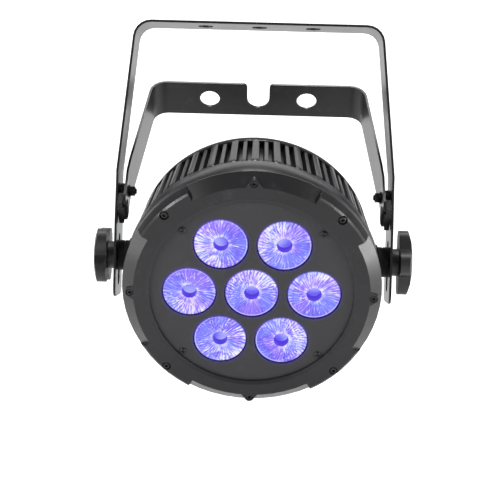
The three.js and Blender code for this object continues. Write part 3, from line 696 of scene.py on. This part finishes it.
def rib_mesh(half_width, drop, values):
    """A cooling rib along +X of the head: tapered towards the back, its front end rounded."""
    front, back = values.rib_front / MM, HOUSING_LOW.z / MM + 0.3
    crest_front, crest_back = values.rib_crest / MM, values.rib_tail / MM
    base = values.core_tail / MM - 2.0
    stations = 14
    rows = []
    for i in range(stations + 1):
        share = i / stations
        z = front + (back - front) * share ** 1.4
        run = (front - z) / (front - back)
        top = crest_front - drop + (crest_back - crest_front) * run
        lead = min(1.0, (front - z + 0.4) / 5.0)
        top -= 3.2 * (1 - math.sqrt(max(0.0, 1 - (1 - lead) ** 2)))
        tail = min(1.0, (z - back + 0.3) / 2.0)
        top -= 1.2 * (1 - math.sqrt(max(0.0, 1 - (1 - tail) ** 2)))
        wide = half_width * (1 - 0.12 * run) * (0.8 + 0.2 * lead)
        rows.append([
            (base, -wide * 1.12, z), (top - 1.5, -wide * 1.02, z), (top - 0.45, -wide * 0.95, z),
            (top - 0.1, -wide * 0.8, z), (top, 0, z), (top - 0.1, wide * 0.8, z),
            (top - 0.45, wide * 0.95, z), (top - 1.5, wide * 1.02, z), (base, wide * 1.12, z),
        ])
    points = [point for row in rows for point in row]
    size = len(rows[0])
    faces = [tuple(range(size)), tuple(range(len(points) - size, len(points)))]
    for i in range(stations):
        for j in range(size):
            after = (j + 1) % size
            faces.append((i * size + j, i * size + after, (i + 1) * size + after, (i + 1) * size + j))
    mesh = as_mesh("rib", points, faces)
    outward(mesh)
    return mesh


def housing_core(values):
    """The cast shell: front band, hollow bowl, dividing wall and tapered core."""
    core, tail = values.core_front / MM, values.core_tail / MM
    bore, rear_bore = values.shell_bore / MM, values.rear_bore / MM
    wall = values.wall / MM
    wall_back = wall - WALL_THICKNESS
    front, back = HOUSING_HIGH.z / MM, HOUSING_LOW.z / MM
    band = values.band_radius / MM
    end = values.rib_front / MM + 0.4
    outer = [(bore, front), (band - 0.9, front), (band - 0.25, front - 0.3), (band, front - 0.9),
             (band, end + 1.0), (band - 0.3, end + 0.3), (band - 0.9, end)]
    scoop = 7.0
    drop = band - 0.9 - core
    for i in range(7):
        angle = math.pi / 2 * i / 6
        outer.append((core + drop * (1 - math.sin(angle)), end - scoop * (1 - math.cos(angle))))
    rim, edge = values.rib_tail / MM, values.rim_front / MM
    outer += [(tail + 1.4, edge + 1.6), (tail + 2.4, edge + 0.4), (rim, edge), (rim + 0.3, edge - 0.5),
              (rim + 0.2, back + 0.9), (rim - 0.6, back), (rear_bore, back),
              (rear_bore, wall_back), (0, wall_back)]
    profile = [(0, wall), (bore, wall), *outer]
    return turned("core", profile, 144)


def pivot_bosses(values):
    """The two round bosses that take the clamp bolts, on the tilt axis."""
    reach = max(abs(HOUSING_LOW.x), abs(HOUSING_HIGH.x)) / MM
    radius = values.boss_radius / MM
    profile = [(0, 84), (radius, 84), (radius, reach - 1.2), (radius - 0.4, reach - 0.4),
               (radius - 1.2, reach), (8.4, reach), (8.0, reach - 0.5), (0, reach - 0.5)]
    pivot = TO_HEAD @ Vector(joint("head_tilt")["pos_m"])
    bosses = []
    for side in (-1, 1):
        place = Matrix.Translation(pivot) @ Matrix.Rotation(side * math.pi / 2, 4, "Y")
        bosses.append(turned("boss", profile, 64, None, place))
    return bosses


# ------------------------------------------------------------------- screws

def hex_reach(across, angle):
    """Distance to the wall of a hexagon at an angle."""
    return across / math.cos((angle % (math.pi / 3)) - math.pi / 6)


def cross_reach(length, half_width, angle):
    """Distance to the wall of a cross-shaped slot at an angle."""
    along, across = abs(math.cos(angle)), abs(math.sin(angle))
    if across > along:
        along, across = across, along
    return min(length / along, half_width / max(across, 1e-6))


def screw_mesh(outside, depth, recess):
    """A screw whose head holds a recess; outside runs from the tip to the recess's lip."""
    steps = 48
    top = outside[-1][1]
    profile = [*outside, (1, top), (1, top - depth), (0, top - depth)]

    def reach(radius, height, angle):
        return (recess(angle), height) if radius == 1 else (radius, height)

    return turned("screw", profile, steps, reach)


# ---------------------------------------------------------------- properties

class ParFinishes(bpy.types.PropertyGroup):
    """Colours and gloss of the lamp's finishes."""

    steel: FloatVectorProperty(
        name="Bracket coat", description="Powder coat on the bent steel brackets",
        subtype="COLOR", size=3, default=(0.010, 0.010, 0.011), min=0, max=1)
    steel_gloss: FloatProperty(
        name="Bracket roughness", description="Roughness of the brackets' coat",
        subtype="FACTOR", default=0.30, min=0, max=1)
    casting: FloatVectorProperty(
        name="Casting coat", description="Powder coat on the ring, housing and rear cover",
        subtype="COLOR", size=3, default=(0.012, 0.012, 0.013), min=0, max=1)
    casting_gloss: FloatProperty(
        name="Casting roughness", description="Roughness of the castings' coat",
        subtype="FACTOR", default=0.26, min=0, max=1)
    plate: FloatVectorProperty(
        name="Lens plate", description="Matt paint of the plate round the lenses",
        subtype="COLOR", size=3, default=(0.026, 0.026, 0.028), min=0, max=1)
    plastic: FloatVectorProperty(
        name="Plastic", description="Knobs, sockets and buttons",
        subtype="COLOR", size=3, default=(0.007, 0.007, 0.0075), min=0, max=1)
    rubber: FloatVectorProperty(
        name="Rubber", description="Foot caps, washers and gasket",
        subtype="COLOR", size=3, default=(0.009, 0.009, 0.009), min=0, max=1)
    fastener: FloatVectorProperty(
        name="Fasteners", description="Black-oxide screws, studs and nuts",
        subtype="COLOR", size=3, default=(0.035, 0.035, 0.037), min=0, max=1)
    glow_deep: FloatVectorProperty(
        name="Deep glow", description="Darkest colour of the light in the lenses",
        subtype="COLOR", size=3, default=(0.065, 0.022, 0.72), min=0, max=1)
    glow_pale: FloatVectorProperty(
        name="Pale glow", description="Washed-out colour of the light in the lenses",
        subtype="COLOR", size=3, default=(0.42, 0.36, 1.0), min=0, max=1)
    glow_power: FloatProperty(
        name="Glow strength", description="Emission strength of the lenses",
        default=1.0, min=0, max=20)


class ParSizes(bpy.types.PropertyGroup):
    """Sizes of the pieces that are remade over the frame."""

    flutes: IntProperty(
        name="Optic flutes", description="Flutes round each lens face", default=44, min=12, max=90)
    flute_relief: FloatProperty(
        name="Flute relief", description="Depth of the flutes, in millimetres",
        default=0.22, min=0, max=1)
    ribs: IntProperty(
        name="Wide ribs", description="Wide cooling ribs round the housing; slim ones lie between",
        default=36, min=12, max=60)
    rib_half_width: FloatProperty(
        name="Rib half width", description="Half width of a wide rib, in millimetres",
        default=3.1, min=0.5, max=5)
    rib_front: FloatProperty(
        name="Rib front", description="Height in the head's frame where the ribs leave the band",
        subtype="DISTANCE", default=-28 * MM)
    rib_crest: FloatProperty(
        name="Rib crest", description="Radius of the ribs at the band",
        subtype="DISTANCE", default=103.3 * MM)
    rib_tail: FloatProperty(
        name="Rib tail", description="Radius of the ribs at the back",
        subtype="DISTANCE", default=98.3 * MM)
    rim_front: FloatProperty(
        name="Rim", description="Height where the plain rear rim starts",
        subtype="DISTANCE", default=-82 * MM)
    core_front: FloatProperty(
        name="Core", description="Radius between the ribs, near the band",
        subtype="DISTANCE", default=95.6 * MM)
    core_tail: FloatProperty(
        name="Core tail", description="Radius between the ribs at the back",
        subtype="DISTANCE", default=90.6 * MM)
    band_radius: FloatProperty(
        name="Band", description="Outer radius of the plain front band",
        subtype="DISTANCE", default=104 * MM)
    shell_bore: FloatProperty(
        name="Shell bore", description="Inner radius of the optics' bowl",
        subtype="DISTANCE", default=88.5 * MM)
    rear_bore: FloatProperty(
        name="Rear bore", description="Inner radius of the electronics' bowl",
        subtype="DISTANCE", default=83 * MM)
    wall: FloatProperty(
        name="Wall", description="Height of the dividing wall's front face",
        subtype="DISTANCE", default=-24 * MM)
    boss_radius: FloatProperty(
        name="Boss", description="Radius of the pivot bosses",
        subtype="DISTANCE", default=15 * MM)
    rounding: FloatProperty(
        name="Edge rounding", description="Width of the rounding on cast and bent edges",
        subtype="DISTANCE", default=0.45 * MM, min=0)


class ParStage(bpy.types.PropertyGroup):
    """Camera, floor and lights."""

    pitch: FloatProperty(
        name="Camera pitch", description="How far the camera looks down",
        subtype="ANGLE", default=math.radians(2.43))
    yaw: FloatProperty(
        name="Camera yaw", description="How far the camera stands off to one side",
        subtype="ANGLE", default=math.radians(-0.6))
    roll: FloatProperty(
        name="Camera roll", description="Tilt of the camera about its own axis",
        subtype="ANGLE", default=math.radians(-1.6))
    lens: FloatProperty(
        name="Focal length", description="Focal length on a 36 mm sensor, in millimetres",
        default=86.4, min=10)
    drop: FloatProperty(
        name="Floor drop", description="Gap between the lamp's lowest point and the floor",
        subtype="DISTANCE", default=0.072)


# ----------------------------------------------------------------- operators

class PAR_OT_brackets(bpy.types.Operator):
    """Hanging bracket and folding stand, bent from steel strip"""

    bl_idname = "par.brackets"
    bl_label = "Brackets"

    def execute(self, context):
        width = context.scene.par_sizes.rounding
        for name, body, node in (
            ("hanging_bracket", "bracket", "outer_bracket"),
            ("folding_stand", "stand", "inner_bracket"),
        ):
            piece = rounded_copy(name, [node], width)
            hand_over(piece, body, "black_steel", [node])
        return {"FINISHED"}


class PAR_OT_hinges(bpy.types.Operator):
    """Studs, nuts, washers and foot caps of the folding stand"""

    bl_idname = "par.hinges"
    bl_label = "Stand hinges"

    def execute(self, context):
        for side in SIDES:
            for kind, body, slot in (
                ("hinge_stud", "bracket", "fastener_steel"),
                ("lock_nut", "bracket", "fastener_steel"),
                ("spacer_washer", "bracket", "black_plastic"),
                ("foot_cap", "stand", "black_rubber"),
            ):
                node = f"{side}_{kind}"
                piece = rounded_copy(f"{node}_rounded", [node], 0.3 * MM)
                hand_over(piece, body, slot, [node])
        return {"FINISHED"}


class PAR_OT_clamps(bpy.types.Operator):
    """Clamp knobs, bolts and friction washers of the tilt"""

    bl_idname = "par.clamps"
    bl_label = "Tilt clamps"

    def execute(self, context):
        for side in SIDES:
            for kind, body, slot, width in (
                ("clamp_knob", f"{side}_knob", "black_plastic", 0.9 * MM),
                ("clamp_bolt", f"{side}_knob", "fastener_steel", 0.3 * MM),
                ("friction_washer", "carriage", "black_rubber", 0.3 * MM),
            ):
                node = f"{side}_{kind}"
                piece = rounded_copy(f"{node}_rounded", [node], width, 32.0, 3)
                hand_over(piece, body, slot, [node])
        return {"FINISHED"}


class PAR_OT_housing(bpy.types.Operator):
    """Cast rear housing: band, bowl, bosses and cooling ribs"""

    bl_idname = "par.housing"
    bl_label = "Ribbed housing"

    def execute(self, context):
        values = context.scene.par_sizes
        whole = joined("housing", [housing_core(values), *pivot_bosses(values)])
        piece = new_object("ribbed_housing", whole)
        pitch = 2 * math.pi / values.ribs
        slim = values.rib_half_width * 0.62
        for half_width, drop, phase in ((values.rib_half_width, 0, 0), (slim, 0.8, pitch / 2)):
            rib = new_object("rib", rib_mesh(half_width, drop, values))
            circle_of(piece, rib, "black_casting", values.ribs, 0, phase)
            bpy.data.objects.remove(rib)
        piece.data.transform(HEAD)
        smooth(piece.data, 38.0)
        hand_over(piece, "head", "black_casting", ["rear_housing"])
        return {"FINISHED"}


class PAR_OT_front(bpy.types.Operator):
    """Scalloped front ring and the plate round the lenses"""

    bl_idname = "par.front"
    bl_label = "Front ring and plate"

    def execute(self, context):
        width = context.scene.par_sizes.rounding
        ring = rounded_copy("scalloped_ring", ["front_ring"], width * 1.6, 24.0, 3)
        hand_over(ring, "head", "black_casting", ["front_ring"])
        plate = rounded_copy("plate_round_lenses", ["lens_plate"], 0.3 * MM)
        hand_over(plate, "head", "lens_plate_grey", ["lens_plate"])
        return {"FINISHED"}


class PAR_OT_optics(bpy.types.Operator):
    """Seven fluted optics lit from behind"""

    bl_idname = "par.optics"
    bl_label = "Lit optics"

    def execute(self, context):
        values = context.scene.par_sizes
        optic = new_object("optic", optic_mesh(values.flutes, values.flute_relief))
        piece = new_object("lit_optics", bpy.data.meshes.new("lit_optics"))
        circle_of(piece, optic, "optic", 6, LENS_PITCH, 0.0, 1)
        bpy.data.objects.remove(optic)
        piece.data.transform(HEAD)
        smooth(piece.data, 50.0)
        nodes = [f"lens_{i + 1}" for i in range(7)]
        hand_over(piece, "head", "optic", nodes)
        return {"FINISHED"}


class PAR_OT_screws(bpy.types.Operator):
    """Screws of the ring, the lens plate and the rear cover"""

    bl_idname = "par.screws"
    bl_label = "Screws"

    def execute(self, context):
        def hexagon(angle):
            return hex_reach(1.35, angle)

        def cross(angle):
            return cross_reach(1.5, 0.42, angle)

        cover = span("rear_screw_1", TO_HEAD)[0].z / MM
        kinds = {
            "ring_screws": ([(0, -16), (2, -16), (2, 1.1), (2.6, 1.15), (2.75, 1.3), (2.75, 3.0),
                             (2.6, 3.3), (2.3, 3.5), (1.7, 3.5)], 1.9, hexagon, 0.0),
            "plate_screws": ([(0, -9), (1.5, -9), (1.5, 0.9), (2.7, 0.95), (2.72, 1.3), (2.4, 1.85),
                              (1.9, 2.2), (1.6, 2.32)], 1.1, cross, math.pi / 4),
            "rear_screws": ([(0, -7), (1.3, -7), (1.3, 0), (2.8, 0.02), (2.8, 0.6), (2.5, 1.2),
                             (2.0, 1.6), (1.5, 1.7)], 1.0, hexagon, math.pi / 4),
        }
        for name, (outside, depth, recess, phase) in kinds.items():
            stem, count = SCREWS[name]
            nodes = [f"{stem}_{i + 1}" for i in range(count)]
            mesh = screw_mesh(outside, depth, recess)
            if name == "rear_screws":
                mesh.transform(Matrix.Translation((0, 0, (cover + 1.7) * MM))
                               @ Matrix.Rotation(math.pi, 4, "X"))
            screw = new_object("screw", mesh)
            piece = new_object(name, bpy.data.meshes.new(name))
            radius = middle(nodes[0]).xy.length
            circle_of(piece, screw, "fastener_steel", count, radius, phase, 0, 0.5, 7)
            bpy.data.objects.remove(screw)
            piece.data.transform(HEAD)
            smooth(piece.data)
            hand_over(piece, "head", "fastener_steel", nodes)
        return {"FINISHED"}


class PAR_OT_rear(bpy.types.Operator):
    """Rear cover with its display, buttons, sockets, vent and safety eye"""

    bl_idname = "par.rear"
    bl_label = "Rear panel"

    def execute(self, context):
        pieces = [
            ("rear_cover", "black_casting", "head", 0.4 * MM),
            ("display_window", "display_dark", "head", 0.15 * MM),
            ("vent_plug", "black_plastic", "head", 0.2 * MM),
            ("safety_eye", "black_steel", "head", 0.4 * MM),
        ]
        for name in ("power_inlet", "power_outlet", "data_inlet", "data_outlet"):
            pieces.append((name, "black_plastic", "head", 0.4 * MM))
        for i in range(4):
            pieces.append((f"menu_button_{i + 1}", "black_plastic", f"button_{i + 1}", 0.2 * MM))
        for node, slot, body, width in pieces:
            piece = rounded_copy(f"{node}_rounded", [node], width)
            hand_over(piece, body, slot, [node])
        return {"FINISHED"}


class PAR_OT_inside(bpy.types.Operator):
    """Finishes of the pieces inside the head, kept as the frame has them"""

    bl_idname = "par.inside"
    bl_label = "Inner pieces"

    def execute(self, context):
        for node, slot in (
            ("lens_carrier", "black_plastic"),
            ("housing_gasket", "black_rubber"),
            ("led_board", "led_board_white"),
            ("driver_board", "circuit_green"),
            ("power_supply", "circuit_green"),
        ):
            mesh = frame["nodes"][node].data
            mesh.materials.clear()
            mesh.materials.append(finish(slot))
        return {"FINISHED"}


class PAR_OT_stage(bpy.types.Operator):
    """Camera, pale floor with a swept backdrop, and soft lights"""

    bl_idname = "par.stage"
    bl_label = "Stage"

    def execute(self, context):
        values = context.scene.par_stage
        self.add_camera(context, values)
        self.add_sweep(values)
        self.add_lights(context)
        return {"FINISHED"}

    @staticmethod
    def add_camera(context, values):
        """The camera looks at the middle of the lens faces from just above."""
        target = HEAD.translation
        level = Matrix(((1, 0, 0), (0, 0, 1), (0, -1, 0)))
        turn = (Matrix.Rotation(values.roll, 3, "Z") @ Matrix.Rotation(values.yaw, 3, "Y")
                @ Matrix.Rotation(values.pitch, 3, "X") @ level)
        facing = turn.transposed()
        camera = bpy.data.cameras.new("camera")
        camera.lens = values.lens
        camera.sensor_width = 36
        camera.clip_start = 0.05
        stand = bpy.data.objects.new("camera", camera)
        stand.matrix_world = Matrix.Translation(target - facing @ SEEN_AT) @ facing.to_4x4()
        context.scene.collection.objects.link(stand)
        context.scene.camera = stand

    @staticmethod
    def add_sweep(values):
        """A floor that curves up into the backdrop and glows below and behind the lamp."""
        low = CAD_BOX[0][2] - values.drop
        bend, back, front, side, steps = 1.2, 2.2, -3.5, 4.0, 24
        line = [(front, low), (back, low)]
        for i in range(1, steps + 1):
            angle = math.pi / 2 * i / steps
            line.append((back + bend * math.sin(angle), low + bend * (1 - math.cos(angle))))
        line.append((back + bend, low + 4.5))
        points = [(x / MM, y / MM, z / MM) for y, z in line for x in (-side, side)]
        faces = [(2 * i, 2 * i + 1, 2 * i + 3, 2 * i + 2) for i in range(len(line) - 1)]
        sweep = new_object("studio_sweep", as_mesh("studio_sweep", points, faces))
        smooth(sweep.data, 60.0)
        material, graph, place = new_material("studio_paper")
        cloud = graph.noise(place, 3.0)
        base = graph.mix(cloud, (0.78, 0.78, 0.78, 1), (0.81, 0.81, 0.81, 1))
        depth = graph.add("ShaderNodeSeparateXYZ", None, {0: place})["Y"]
        glow = graph.mix(depth.above(-0.25, -0.05), (0, 0, 0, 1), (0.36, 0.36, 0.36, 1))
        glow = graph.mix(depth.above(0.35, 1.3), glow, (1.0, 1.0, 1.0, 1))
        set_shader(material, graph, {"Specular IOR Level": 0.1, "Emission Strength": 1.0},
                   {"Base Color": base, "Roughness": 0.85 + cloud * 0.1, "Emission Color": glow})
        sweep.data.materials.append(material)

    @staticmethod
    def add_lights(context):
        """A dim room with softboxes above, at both sides and at both front corners."""
        world = bpy.data.worlds.new("room")
        world.use_nodes = True
        world.node_tree.nodes["Background"].inputs["Color"].default_value = (1, 1, 1, 1)
        world.node_tree.nodes["Background"].inputs["Strength"].default_value = 0.20
        context.scene.world = world
        context.scene.view_settings.view_transform = "Standard"
        aim = Vector((0, 0, -0.2))
        for name, place, size, power in SOFTBOXES:
            lamp = bpy.data.lights.new(name, "AREA")
            lamp.shape = "SQUARE"
            lamp.size = size
            lamp.energy = power
            box = bpy.data.objects.new(name, lamp)
            box.location = place
            box.rotation_euler = (aim - Vector(place)).to_track_quat("-Z", "Y").to_euler()
            context.scene.collection.objects.link(box)


class PAR_PT_panel(bpy.types.Panel):
    """Lists the lamp's pieces and sizes"""

    bl_idname = "PAR_PT_panel"
    bl_label = "Par Can Light"
    bl_space_type = "VIEW_3D"
    bl_region_type = "UI"
    bl_category = "Par Can"

    def draw(self, context):
        for group in (context.scene.par_sizes, context.scene.par_finishes, context.scene.par_stage):
            box = self.layout.box()
            for name in group.__annotations__:
                box.prop(group, name)
        for operator in OPERATORS:
            self.layout.operator(operator.bl_idname)


OPERATORS = (
    PAR_OT_stage, PAR_OT_brackets, PAR_OT_hinges, PAR_OT_clamps, PAR_OT_housing, PAR_OT_front,
    PAR_OT_optics, PAR_OT_screws, PAR_OT_rear, PAR_OT_inside,
)
GROUPS = {"par_finishes": ParFinishes, "par_sizes": ParSizes, "par_stage": ParStage}


def register():
    for name, group in GROUPS.items():
        bpy.utils.register_class(group)
        setattr(bpy.types.Scene, name, PointerProperty(type=group))
    for entry in (*OPERATORS, PAR_PT_panel):
        bpy.utils.register_class(entry)


def unregister():
    for entry in (PAR_PT_panel, *OPERATORS):
        bpy.utils.unregister_class(entry)
    for name, group in GROUPS.items():
        delattr(bpy.types.Scene, name)
        bpy.utils.unregister_class(group)


def main():
    register()
    bpy.ops.par.stage()
    bpy.ops.par.brackets()
    bpy.ops.par.hinges()
    bpy.ops.par.clamps()
    bpy.ops.par.housing()
    bpy.ops.par.front()
    bpy.ops.par.optics()
    bpy.ops.par.screws()
    bpy.ops.par.rear()
    bpy.ops.par.inside()


if __name__ == "__main__":
    main()
